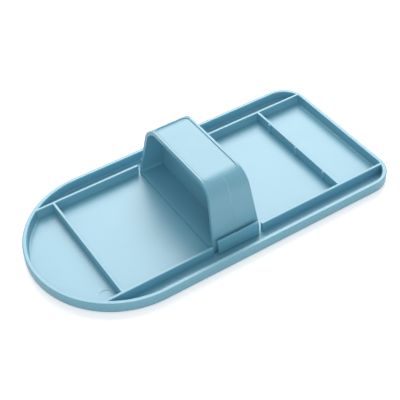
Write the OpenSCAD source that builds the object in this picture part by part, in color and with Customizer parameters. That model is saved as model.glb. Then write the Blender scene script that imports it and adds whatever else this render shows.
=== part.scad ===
// Icing smoother in two mouldings: a shallow ribbed smoothing plate with one round end,
// and a loop handle that two springy clips of the plate hold by its foot.
// Millimetres. The plate lies on its smoothing face in the plane z = 0, long side along X,
// with the round end at -X. The origin is under the middle of the plate.

/* [Plate] */
// Length from the tip of the round end to the square end
plate_l = 160; // [140:1:220]
// Width, which is also the diameter of the round end
plate_w = 80; // [76:1:110]
// Height of the rim and ribs above the smoothing face
rim_h = 6; // [5.5:0.1:9]
// Thickness of the floor, whose underside smooths the icing
floor_t = 1.3; // [1:0.1:3]
// Thickness of the rim
rim_t = 2; // [1.5:0.1:3]
// Radius of the two corners at the square end
corner_r = 12; // [6:0.5:18]
// Radius of the edge between the smoothing face and the sides
sole_edge_r = 2; // [0.5:0.1:2.5]
// Radius of the rim's outer top edge
rim_outer_r = 0.5; // [0.2:0.1:0.8]
// Radius of the rim's inner top edge
rim_inner_r = 0.4; // [0.2:0.1:0.6]
// Radius of the corner between the floor and the rim
floor_fillet_r = 0.8; // [0.3:0.1:1.5]

/* [Ribs] */
// Thickness of the ribs
rib_t = 1.3; // [1:0.1:2]
// Radius of the ribs' top edges
rib_edge_r = 0.3; // [0.1:0.05:0.45]
// Clear length of the bay at the round end
round_bay_l = 22.6; // [16:0.1:30]
// Clear length of the bay at the square end
square_bay_l = 23.1; // [16:0.1:30]
// Number of half-round ejector bosses on the square-end cross rib
boss_count = 3; // [0:1:5]
// Spacing of those bosses
boss_pitch = 20; // [8:0.5:24]
// Radius of those bosses
boss_r = 0.6; // [0.3:0.1:1]
// Diameter of the round ejector marks on the floor
mark_d = 5.4; // [3:0.1:8]
// Depth of the ejector marks
mark_depth = 0.15; // [0.05:0.05:0.4]
// Distance of each ejector mark from the long centre line
mark_y = 24.5; // [10:0.5:27]
// Distance of the ejector marks from the tip of the round end
mark_x = 20.5; // [17:0.5:22]

/* [Handle] */
// Width across the upright faces of the foot
foot_w = 60.2; // [50:0.2:64]
// Height of those upright faces
foot_rise = 3.6; // [2:0.1:6]
// Depth of the handle at its underside
foot_d = 23.5; // [20:0.5:32]
// Width between the leaning sides where they would meet the top
top_w = 48; // [42:0.5:56]
// Depth of the handle at the top
top_d = 18.5; // [17:0.5:24]
// Height of the handle above the plate's floor
handle_h = 31; // [26:0.5:45]
// Outer radius of the bends between the sides and the top strap
bend_r = 9.5; // [6:0.5:12]
// Thickness of the sides
side_t = 1.6; // [1.2:0.1:3]
// Thickness of the top strap
strap_t = 2; // [1.5:0.1:4]
// Thickness of the bottom of the handle
base_t = 2.2; // [1.8:0.1:4]
// Thickness of the wall between the two finger pockets
web_t = 1.8; // [1.2:0.1:4]
// Radius of the lower inside corners of the finger pockets
pocket_corner_r = 1; // [0.5:0.1:3]
// Radius along the edges of the underside
foot_edge_r = 0.5; // [0.2:0.1:1]

/* [Label panel] */
// Length of the sunk bare panel across the top strap
panel_l = 40.8; // [30:0.2:44]
// Width of the panel
panel_w = 16.2; // [10:0.2:17]
// Radius of the panel's corners
panel_corner_r = 2.8; // [1:0.1:5]
// Depth of the panel
panel_depth = 0.3; // [0.1:0.05:0.6]

/* [Clips and pegs] */
// Length of each clip along the plate
clip_l = 20.2; // [12:0.2:30]
// Thickness of each clip
clip_t = 1.2; // [0.8:0.1:1.6]
// Height of the clips' top edge above the plate's floor
clip_h = 7.2; // [5:0.1:9]
// Lean of the clips over the handle's foot, in degrees
clip_lean = 6; // [2:0.5:10]
// Clearance between a clip's top edge and the handle's foot
clip_gap = 0.3; // [0.2:0.05:0.6]
// Clearance under the root of a clip, where it bends
root_gap = 0.05; // [0.02:0.01:0.1]
// Gap between a clip and the ends of the rib beside it
slot_w = 2.2; // [1:0.1:4]
// Width of the notch in the middle of a clip's top edge
notch_w = 1.2; // [0.6:0.1:3]
// Depth of the notch into the clip's inner face
notch_depth = 0.5; // [0.2:0.1:0.6]
// Height of the notch
notch_h = 1.5; // [0.5:0.1:3]
// Diameter of the pegs on the floor that keep the handle in place
peg_d = 4; // [3:0.1:6]
// Height of the pegs
peg_h = 1.2; // [0.8:0.1:1.4]
// Distance of each peg from the centre of the plate
peg_y = 20; // [10:0.5:22]
// Clearance between a peg and the wall of its socket
peg_gap = 0.1; // [0.05:0.05:0.3]
// Clearance between the top of a peg and the bottom of its socket
peg_head_gap = 0.3; // [0.1:0.05:0.4]

/* [Hidden] */
$fn = 96;
eps = 0.01;
// How far a cutting shape reaches past the face that it opens
over = 5;

// Plate: the outline is a half disc, a straight middle and a square end with round corners
half_w = plate_w / 2;
tip_x = -plate_l / 2;
end_x = plate_l / 2;
round_x = tip_x + half_w;
corner_x = end_x - corner_r;
corner_y = half_w - corner_r;

// Ribs: the long ribs' inner faces line up with the upright faces of the handle's foot
rib_in_y = foot_w / 2;
rib_y = rib_in_y + rib_t / 2;
round_rib_x = tip_x + rim_t + round_bay_l;
square_rib_x = end_x - rim_t - square_bay_l - rib_t;
rib_end_x = clip_l / 2 + slot_w;
// The long ribs run into the rim up to the middle of its thickness
rib_rim_r = half_w - rim_t / 2;
rib_tip_x = round_x - sqrt(pow(rib_rim_r, 2) - pow(rib_y, 2));
rib_back_x = end_x - rim_t / 2;

// Handle: each leaning side is a straight line that touches the bend above it
lean = atan((foot_w / 2 - top_w / 2) / (handle_h - foot_rise));
bend_z = handle_h - bend_r;
bend_y = foot_w / 2 - (bend_z - foot_rise) * tan(lean) - bend_r / cos(lean);

// Clips: the top inner corner of a clip lies at the foot plus the clearance
clip_root_r = clip_t / 2;
clip_root_z = floor_t + root_gap + clip_root_r;
clip_reach = (floor_t + clip_h - clip_root_z - clip_root_r * sin(clip_lean)) / cos(clip_lean);
clip_top_in_y = foot_w / 2 + clip_gap;
clip_root_y = clip_top_in_y + clip_reach * sin(clip_lean) + clip_root_r * cos(clip_lean);

// The corner outside a quarter circle, for rounding a corner of a flat shape
module corner_cut(r) {
    difference() {
        translate([-r, -r]) square(2 * r);
        circle(r);
        translate([-2 * r, -r]) square(2 * r);
        translate([-r, -2 * r]) square(2 * r);
    }
}

// Half section of the plate without its pocket, w wide from the middle to the rim
module plate_section(w) {
    difference() {
        square([w, rim_h]);
        translate([w - rim_outer_r, rim_h - rim_outer_r]) corner_cut(rim_outer_r);
        translate([w - sole_edge_r, sole_edge_r]) mirror([0, 1]) corner_cut(sole_edge_r);
    }
}

// Half section of the pocket inside the rim, w wide
module pocket_section(w) {
    difference() {
        translate([0, floor_t]) square([w, rim_h - floor_t + over]);
        translate([w - floor_fillet_r, floor_t + floor_fillet_r])
            mirror([0, 1]) corner_cut(floor_fillet_r);
    }
    difference() {
        translate([w - eps, rim_h - rim_inner_r]) square([rim_inner_r + eps, rim_inner_r + over]);
        translate([w + rim_inner_r, rim_h - rim_inner_r]) circle(rim_inner_r);
    }
}

// Sweeps one of the half sections around the outline of the plate.
// inset is how far the section's edge lies inside the outline.
module around_outline(inset, pocket = false) {
    end_r = half_w - inset;
    turn_r = corner_r - inset;
    module section(w) {
        if (pocket) pocket_section(w);
        else plate_section(w);
    }
    translate([round_x, 0, 0]) rotate([0, 0, 90]) rotate_extrude(angle = 180) section(end_r);
    for (side = [0, 1]) mirror([0, side, 0]) {
        translate([round_x, 0, 0]) rotate([90, 0, 90])
            linear_extrude(corner_x - round_x) section(end_r);
        translate([corner_x, corner_y, 0]) rotate_extrude(angle = 90) section(turn_r);
        translate([corner_x, corner_y, 0]) rotate([90, 0, 0])
            linear_extrude(corner_y) section(turn_r);
    }
}

// A straight rib from x0 to x1 on the line y = 0, with rounded top edges
module rib(x0, x1) {
    translate([x0, 0, 0]) rotate([90, 0, 90]) linear_extrude(x1 - x0) difference() {
        translate([-rib_t / 2, floor_t - eps]) square([rib_t, rim_h - floor_t + eps]);
        for (side = [0, 1]) mirror([side, 0])
            translate([rib_t / 2 - rib_edge_r, rim_h - rib_edge_r]) corner_cut(rib_edge_r);
    }
}

// A cross rib whose face towards the round end is at x, between the long ribs
module cross_rib(x) {
    translate([x + rib_t / 2, 0, 0]) rotate([0, 0, 90]) rib(-rib_y, rib_y);
}

module long_ribs() {
    for (side = [-1, 1]) translate([0, side * rib_y, 0]) {
        rib(rib_tip_x, -rib_end_x);
        rib(rib_end_x, rib_back_x);
    }
}

module bosses() {
    for (i = [0 : 1 : boss_count - 1])
        translate([square_rib_x, (i - (boss_count - 1) / 2) * boss_pitch, floor_t - eps])
            cylinder(r = boss_r, h = rim_h - floor_t - rib_edge_r);
}

module ejector_marks() {
    for (side = [-1, 1])
        translate([tip_x + mark_x, side * mark_y, floor_t - mark_depth])
            cylinder(d = mark_d, h = mark_depth + over);
}

module pegs() {
    for (side = [-1, 1])
        translate([0, side * peg_y, floor_t - eps]) cylinder(d = peg_d, h = peg_h + eps);
}

module smoothing_plate() {
    color("#9cc6dc") difference() {
        union() {
            difference() {
                around_outline(0);
                around_outline(rim_t, pocket = true);
            }
            long_ribs();
            cross_rib(round_rib_x);
            cross_rib(square_rib_x);
            bosses();
            pegs();
        }
        ejector_marks();
    }
}

// Outline of the handle seen along X, sunk inwards by side on the sides,
// by top under the strap and by bottom above the underside
module loop_outline(side = 0, top = 0, bottom = 0) {
    r = bend_r - top;
    slant = side / cos(lean);
    // The inner bend keeps its own radius and touches the sunken side line
    mid_z = handle_h - top - r;
    mid_y = foot_w / 2 - slant - (mid_z - foot_rise) * tan(lean) - r / cos(lean);
    low_y = foot_w / 2 - slant + (foot_rise - bottom) * tan(lean);
    polygon([
        [-low_y, bottom], [low_y, bottom],
        [mid_y + r * cos(lean), mid_z + r * sin(lean)], [mid_y, mid_z + r],
        [-mid_y, mid_z + r], [-mid_y - r * cos(lean), mid_z + r * sin(lean)]
    ]);
    for (x = [-mid_y, mid_y]) translate([x, mid_z]) circle(r);
}

// Outer outline: the leaning sides turn upright at the foot, with rounded lower edges
module outer_outline() {
    difference() {
        intersection() {
            loop_outline();
            translate([-foot_w / 2, 0]) square([foot_w, handle_h]);
        }
        for (side = [0, 1]) mirror([side, 0])
            translate([foot_w / 2 - foot_edge_r, foot_edge_r])
                mirror([0, 1]) corner_cut(foot_edge_r);
    }
}

// Outline of the finger pockets, with small lower corners
module pocket_outline() {
    floor_y = foot_w / 2 - side_t / cos(lean) + (foot_rise - base_t) * tan(lean);
    corner_z = base_t + pocket_corner_r;
    // The centre of the lower corner lies one radius from the floor and from the side
    corner_y = floor_y - pocket_corner_r * tan(lean) - pocket_corner_r / cos(lean);
    difference() {
        loop_outline(side_t, strap_t, base_t);
        for (side = [0, 1]) mirror([side, 0]) difference() {
            polygon([
                [corner_y, base_t - 1], [floor_y + 1, base_t - 1], [floor_y + 1, base_t],
                [corner_y + pocket_corner_r * cos(lean), corner_z + pocket_corner_r * sin(lean)],
                [corner_y, corner_z]
            ]);
            translate([corner_y, corner_z]) circle(pocket_corner_r);
        }
    }
}

// Side view of the handle: deepest at the foot, with rounded lower edges
module depth_outline() {
    difference() {
        polygon([
            [-foot_d / 2, 0], [foot_d / 2, 0],
            [top_d / 2, handle_h], [-top_d / 2, handle_h]
        ]);
        for (side = [0, 1]) mirror([side, 0])
            translate([foot_d / 2 - foot_edge_r, foot_edge_r])
                mirror([0, 1]) corner_cut(foot_edge_r);
    }
}

// A flat shape drawn as seen along X becomes a block centred on x = 0
module along_x(length) {
    rotate([90, 0, 90]) linear_extrude(length, center = true) children();
}

// Rounded rectangle made of exact circles
module round_rect(w, h, r) {
    square([w - 2 * r, h], center = true);
    square([w, h - 2 * r], center = true);
    for (x = [-1, 1], y = [-1, 1])
        translate([x * (w / 2 - r), y * (h / 2 - r)]) circle(r);
}

// The sunk panel follows the strap over the start of both bends
module label_panel() {
    intersection() {
        difference() {
            translate([0, 0, bend_z]) linear_extrude(bend_r + over)
                round_rect(panel_w, panel_l, panel_corner_r);
            along_x(foot_d) loop_outline(panel_depth, panel_depth, -over);
        }
        translate([-foot_d / 2, -foot_w / 2, bend_z]) cube([foot_d, foot_w, bend_r + over]);
    }
}

module peg_sockets() {
    for (side = [-1, 1])
        translate([0, side * peg_y, -over])
            cylinder(d = peg_d + 2 * peg_gap, h = over + peg_h + peg_head_gap);
}

module handle() {
    color("#a9d0e2") translate([0, 0, floor_t]) difference() {
        intersection() {
            along_x(foot_d) outer_outline();
            rotate([90, 0, 0]) linear_extrude(foot_w, center = true) depth_outline();
        }
        for (side = [0, 1]) mirror([side, 0, 0])
            translate([web_t / 2 + foot_d / 2, 0, 0]) along_x(foot_d) pocket_outline();
        label_panel();
        peg_sockets();
    }
}

// The clip at +Y: a thin tongue that bends about its round root
module clip() {
    translate([0, clip_root_y, clip_root_z]) rotate([clip_lean, 0, 0]) difference() {
        along_x(clip_l) {
            circle(clip_root_r);
            difference() {
                translate([-clip_t / 2, 0]) square([clip_t, clip_reach]);
                for (side = [0, 1]) mirror([side, 0])
                    translate([clip_t / 2 - rib_edge_r, clip_reach - rib_edge_r])
                        corner_cut(rib_edge_r);
            }
        }
        translate([-notch_w / 2, -clip_t / 2 - over, clip_reach - notch_h])
            cube([notch_w, over + notch_depth, notch_h + over]);
    }
}

module far_clip() {
    color("#8fbdd4") clip();
}

module near_clip() {
    color("#8fbdd4") mirror([0, 1, 0]) clip();
}

smoothing_plate();
handle();
near_clip();
far_clip();
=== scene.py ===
# Looks of the icing smoother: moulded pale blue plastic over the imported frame, in metres.
import math

import bpy
from mathutils import Matrix, Vector


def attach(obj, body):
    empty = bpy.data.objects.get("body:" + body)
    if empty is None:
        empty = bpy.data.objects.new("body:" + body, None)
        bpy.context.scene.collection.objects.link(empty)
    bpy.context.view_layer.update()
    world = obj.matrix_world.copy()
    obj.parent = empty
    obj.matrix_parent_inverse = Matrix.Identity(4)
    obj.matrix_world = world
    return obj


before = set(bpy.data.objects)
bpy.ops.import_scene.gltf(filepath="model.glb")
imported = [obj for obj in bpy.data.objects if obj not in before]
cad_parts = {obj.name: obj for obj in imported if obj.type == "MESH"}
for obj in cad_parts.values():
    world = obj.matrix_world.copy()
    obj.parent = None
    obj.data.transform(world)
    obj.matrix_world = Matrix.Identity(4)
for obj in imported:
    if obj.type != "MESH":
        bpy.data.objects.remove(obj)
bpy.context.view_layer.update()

MM = 0.001
WHITE = (1, 1, 1, 1)

# Camera, fitted to the edges of the plate in the photo
CAMERA_AZIMUTH = math.radians(-31.357)
CAMERA_ELEVATION = math.radians(44.019)
CAMERA_ROLL = math.radians(-2.402)
CAMERA_DISTANCE = 413.43 * MM
CAMERA_TARGET = Vector((1.82, 1.01, 0)) * MM
PHOTO_SIZE = 400
FOCAL_PIXELS = 935.19
SENSOR = 36
NEAREST = 0.01
FARTHEST = 20

# Lights: place, edge length and power of the two soft boxes, and strength of the white surroundings
BACK_BOX = ((0.5, 0.8, 1.0), 1.15, 16.5)
FRONT_FILL = ((-0.3, -1.1, 0.5), 0.9, 3)
SKY_STRENGTH = 0.48
SKY_SEEN = 1
FLOOR_HALF = 3
FLOOR_COLOUR = (0.9, 0.9, 0.9, 1)
FLOOR_ROUGHNESS = 0.9
FLOOR_GLOW_SEEN = 0.45

# Linear colours of the plastic
PLATE_COLOUR = (0.17, 0.45, 0.58, 1)
HANDLE_COLOUR = (0.165, 0.44, 0.57, 1)
# Paler than the handle: a painted highlight along the parting-line beads
FLASH_HIGHLIGHT_COLOUR = (0.30, 0.56, 0.68, 1)

# What all the plastics share: gloss, light under the skin, and the scales of tint, gloss and grain
PLASTIC_IOR = 1.49
SPECULAR_LEVEL = 0.7
COAT_ROUGHNESS = 0.35
SKIN_WEIGHT = 0.12
SKIN_RADIUS = (0.6, 0.9, 1.0)
SKIN_SCALE = 1.2 * MM
TINT_SCALE = 45
TINT_DARK = 0.965
TINT_PALE = 1.03
GLOSS_SCALE = 160
GLOSS_SPREAD = 0.04
GRAIN_SCALE = 2600
GRAIN_STRENGTH = 0.25

# The handle's leaning side and the bend above it, seen along X
SIDE_LEAN = math.radians(12.55)
BEND_RADIUS = 9.5 * MM
BEND_Y = 16.38 * MM
BEND_Z = 22.8 * MM

# Border round the sunk panel on the strap
PANEL_L = 41 * MM
PANEL_W = 16.4 * MM
PANEL_CORNER_R = 2.9 * MM
CORNER_STEPS = 6
SIDE_STEPS = 24

# Faint beads: the mould's parting line at mid depth, and the border of the panel
BEAD_RADIUS = 0.18 * MM
BEAD_SINK = 0.1 * MM
BEAD_SIDES = 10
PARTING_LOW_Z = 13 * MM
BEND_ANGLE_SPAN = math.radians(49)
BEND_STEPS = 12


def make_camera():
    back = Vector((
        math.sin(CAMERA_AZIMUTH) * math.cos(CAMERA_ELEVATION),
        -math.cos(CAMERA_AZIMUTH) * math.cos(CAMERA_ELEVATION),
        math.sin(CAMERA_ELEVATION),
    ))
    right = Vector((0, 0, 1)).cross(back).normalized()
    up = back.cross(right)
    rolled_right = math.cos(CAMERA_ROLL) * right + math.sin(CAMERA_ROLL) * up
    rolled_up = math.cos(CAMERA_ROLL) * up - math.sin(CAMERA_ROLL) * right
    data = bpy.data.cameras.new("camera")
    data.sensor_fit = "HORIZONTAL"
    data.sensor_width = SENSOR
    data.lens = FOCAL_PIXELS / PHOTO_SIZE * SENSOR
    data.clip_start = NEAREST
    data.clip_end = FARTHEST
    camera = bpy.data.objects.new("camera", data)
    turn = Matrix((rolled_right, rolled_up, back)).transposed().to_4x4()
    camera.matrix_world = Matrix.Translation(CAMERA_TARGET + back * CAMERA_DISTANCE) @ turn
    bpy.context.scene.collection.objects.link(camera)
    bpy.context.scene.camera = camera


def area_light(name, place, size, power):
    """A square soft box that faces the origin."""
    data = bpy.data.lights.new(name, "AREA")
    data.energy = power
    data.size = size
    light = bpy.data.objects.new(name, data)
    light.location = place
    light.rotation_euler = (-Vector(place)).to_track_quat("-Z", "Y").to_euler()
    bpy.context.scene.collection.objects.link(light)


def make_stage():
    """A pale flat floor that keeps the shadow, and glows a little for the camera alone."""
    mesh = bpy.data.meshes.new("floor")
    corners = [(x * FLOOR_HALF, y * FLOOR_HALF, 0) for x, y in ((-1, -1), (1, -1), (1, 1), (-1, 1))]
    mesh.from_pydata(corners, [], [(0, 1, 2, 3)])
    floor = bpy.data.objects.new("floor", mesh)
    bpy.context.scene.collection.objects.link(floor)
    material = bpy.data.materials.new("floor")
    material.use_nodes = True
    tree = material.node_tree
    shader = tree.nodes["Principled BSDF"]
    shader.inputs["Base Color"].default_value = FLOOR_COLOUR
    shader.inputs["Roughness"].default_value = FLOOR_ROUGHNESS
    glow = tree.nodes.new("ShaderNodeEmission")
    glow.inputs["Color"].default_value = WHITE
    path = tree.nodes.new("ShaderNodeLightPath")
    strength = tree.nodes.new("ShaderNodeMath")
    strength.operation = "MULTIPLY"
    strength.inputs[1].default_value = FLOOR_GLOW_SEEN
    tree.links.new(path.outputs["Is Camera Ray"], strength.inputs[0])
    tree.links.new(strength.outputs[0], glow.inputs["Strength"])
    add = tree.nodes.new("ShaderNodeAddShader")
    tree.links.new(shader.outputs[0], add.inputs[0])
    tree.links.new(glow.outputs[0], add.inputs[1])
    tree.links.new(add.outputs[0], tree.nodes["Material Output"].inputs["Surface"])
    mesh.materials.append(material)


def make_world():
    """White all round: full white to the camera, and weaker as a light."""
    world = bpy.data.worlds.new("studio")
    bpy.context.scene.world = world
    world.use_nodes = True
    tree = world.node_tree
    background = tree.nodes["Background"]
    background.inputs["Color"].default_value = WHITE
    path = tree.nodes.new("ShaderNodeLightPath")
    strength = tree.nodes.new("ShaderNodeMath")
    strength.operation = "MULTIPLY_ADD"
    strength.inputs[1].default_value = SKY_SEEN - SKY_STRENGTH
    strength.inputs[2].default_value = SKY_STRENGTH
    tree.links.new(path.outputs["Is Camera Ray"], strength.inputs[0])
    tree.links.new(strength.outputs[0], background.inputs["Strength"])


def make_lights():
    area_light("back_box", *BACK_BOX)
    area_light("front_fill", *FRONT_FILL)


def plastic(name, colour, roughness, grain_depth, coat):
    """Moulded plastic: faint mottling of colour and gloss, with a fine grain."""
    material = bpy.data.materials.new(name)
    material.use_nodes = True
    tree = material.node_tree
    shader = tree.nodes["Principled BSDF"]
    shader.inputs["IOR"].default_value = PLASTIC_IOR
    shader.inputs["Specular IOR Level"].default_value = SPECULAR_LEVEL
    shader.inputs["Coat Weight"].default_value = coat
    shader.inputs["Coat Roughness"].default_value = COAT_ROUGHNESS
    shader.inputs["Subsurface Weight"].default_value = SKIN_WEIGHT
    shader.inputs["Subsurface Radius"].default_value = SKIN_RADIUS
    shader.inputs["Subsurface Scale"].default_value = SKIN_SCALE
    place = tree.nodes.new("ShaderNodeTexCoord")

    def noise(scale, detail):
        node = tree.nodes.new("ShaderNodeTexNoise")
        node.inputs["Scale"].default_value = scale
        node.inputs["Detail"].default_value = detail
        tree.links.new(place.outputs["Object"], node.inputs["Vector"])
        return node.outputs["Fac"]

    def ramp(source, low, high):
        node = tree.nodes.new("ShaderNodeMapRange")
        node.inputs["To Min"].default_value = low
        node.inputs["To Max"].default_value = high
        tree.links.new(source, node.inputs["Value"])
        return node.outputs["Result"]

    tint = tree.nodes.new("ShaderNodeMix")
    tint.data_type = "RGBA"
    tree.links.new(noise(TINT_SCALE, 3), tint.inputs["Factor"])
    tint.inputs["A"].default_value = tuple(c * TINT_DARK for c in colour[:3]) + (1,)
    tint.inputs["B"].default_value = tuple(c * TINT_PALE for c in colour[:3]) + (1,)
    tree.links.new(tint.outputs["Result"], shader.inputs["Base Color"])
    gloss = ramp(noise(GLOSS_SCALE, 4), roughness - GLOSS_SPREAD, roughness + GLOSS_SPREAD)
    tree.links.new(gloss, shader.inputs["Roughness"])
    grain = tree.nodes.new("ShaderNodeBump")
    grain.inputs["Strength"].default_value = GRAIN_STRENGTH
    grain.inputs["Distance"].default_value = grain_depth
    tree.links.new(noise(GRAIN_SCALE, 2), grain.inputs["Height"])
    tree.links.new(grain.outputs["Normal"], shader.inputs["Normal"])
    return material


def bead(name, path, normals, closed, material):
    """A thin round bead along a path on the handle, mostly sunk into the surface."""
    vertices = []
    for i, (point, normal) in enumerate(zip(path, normals)):
        before = path[i - 1] if closed or i > 0 else point
        after = path[(i + 1) % len(path)] if closed or i + 1 < len(path) else point
        across = (after - before).normalized().cross(normal)
        centre = point - BEAD_SINK * normal
        for k in range(BEAD_SIDES):
            turn = 2 * math.pi * k / BEAD_SIDES
            outward = math.cos(turn) * normal + math.sin(turn) * across
            vertices.append(centre + BEAD_RADIUS * outward)
    faces = []
    spans = len(path) if closed else len(path) - 1
    for i in range(spans):
        ring = i * BEAD_SIDES
        next_ring = (i + 1) % len(path) * BEAD_SIDES
        for k in range(BEAD_SIDES):
            turned = (k + 1) % BEAD_SIDES
            faces.append((ring + k, next_ring + k, next_ring + turned, ring + turned))
    if not closed:
        last = (len(path) - 1) * BEAD_SIDES
        faces.append(tuple(range(BEAD_SIDES)))
        faces.append(tuple(last + k for k in reversed(range(BEAD_SIDES))))
    mesh = bpy.data.meshes.new(name)
    mesh.from_pydata(vertices, [], faces)
    mesh.shade_smooth()
    mesh.materials.append(material)
    piece = bpy.data.objects.new(name, mesh)
    bpy.context.scene.collection.objects.link(piece)
    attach(piece, "handle")


def parting_line(name, side, material):
    """Up one leaning side of the handle and over the start of the bend."""
    angles = [SIDE_LEAN + BEND_ANGLE_SPAN * i / BEND_STEPS for i in range(BEND_STEPS + 1)]
    normals = [Vector((0, side * math.cos(angle), math.sin(angle))) for angle in angles]
    centre = Vector((0, side * BEND_Y, BEND_Z))
    path = [centre + BEND_RADIUS * normal for normal in normals]
    drop = path[0].z - PARTING_LOW_Z
    low = path[0] + Vector((0, side * drop * math.tan(SIDE_LEAN), -drop))
    bead(name, [low] + path, [normals[0]] + normals, False, material)


def panel_border(material):
    """Round the sunk panel on the strap, following the start of both bends."""
    path = []
    normals = []

    def add(x, y):
        past = max(abs(y) - BEND_Y, 0)
        rise = math.sqrt(BEND_RADIUS**2 - past**2)
        normal = Vector((0, math.copysign(past, y), rise)) / BEND_RADIUS
        flat_y = math.copysign(min(abs(y), BEND_Y), y)
        path.append(Vector((x, flat_y, BEND_Z)) + BEND_RADIUS * normal)
        normals.append(normal)

    half_x = PANEL_W / 2 - PANEL_CORNER_R
    half_y = PANEL_L / 2 - PANEL_CORNER_R
    corners = [(half_x, half_y), (-half_x, half_y), (-half_x, -half_y), (half_x, -half_y)]
    for quarter, (x, y) in enumerate(corners):
        for i in range(CORNER_STEPS + 1):
            angle = math.radians(90) * (quarter + i / CORNER_STEPS)
            add(x + PANEL_CORNER_R * math.cos(angle), y + PANEL_CORNER_R * math.sin(angle))
        if quarter % 2 == 1:
            for i in range(1, SIDE_STEPS):
                add(path[-1].x, y * (1 - 2 * i / SIDE_STEPS))
    bead("panel_border", path, normals, True, material)


def dress(node, material):
    """Gives a carried-over solid its material."""
    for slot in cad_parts[node].material_slots:
        slot.material = material


make_camera()
make_stage()
make_world()
make_lights()
plate_plastic = plastic("plate_plastic", PLATE_COLOUR, 0.4, 0.01 * MM, 0.85)
handle_plastic = plastic("handle_plastic", HANDLE_COLOUR, 0.42, 0.015 * MM, 0.7)
dress("smoothing_plate", plate_plastic)
dress("near_clip", plate_plastic)
dress("far_clip", plate_plastic)
dress("handle", handle_plastic)
# The parting-line beads get a paler plastic, a painted highlight standing in for light catching the
# line
flash_highlight_plastic = plastic("flash_highlight_plastic", FLASH_HIGHLIGHT_COLOUR, 0.38, 0.005 * MM, 0.3)
parting_line("near_parting_line", -1, flash_highlight_plastic)
parting_line("far_parting_line", 1, flash_highlight_plastic)
panel_border(handle_plastic)

bpy.context.scene.view_settings.view_transform = "Standard"
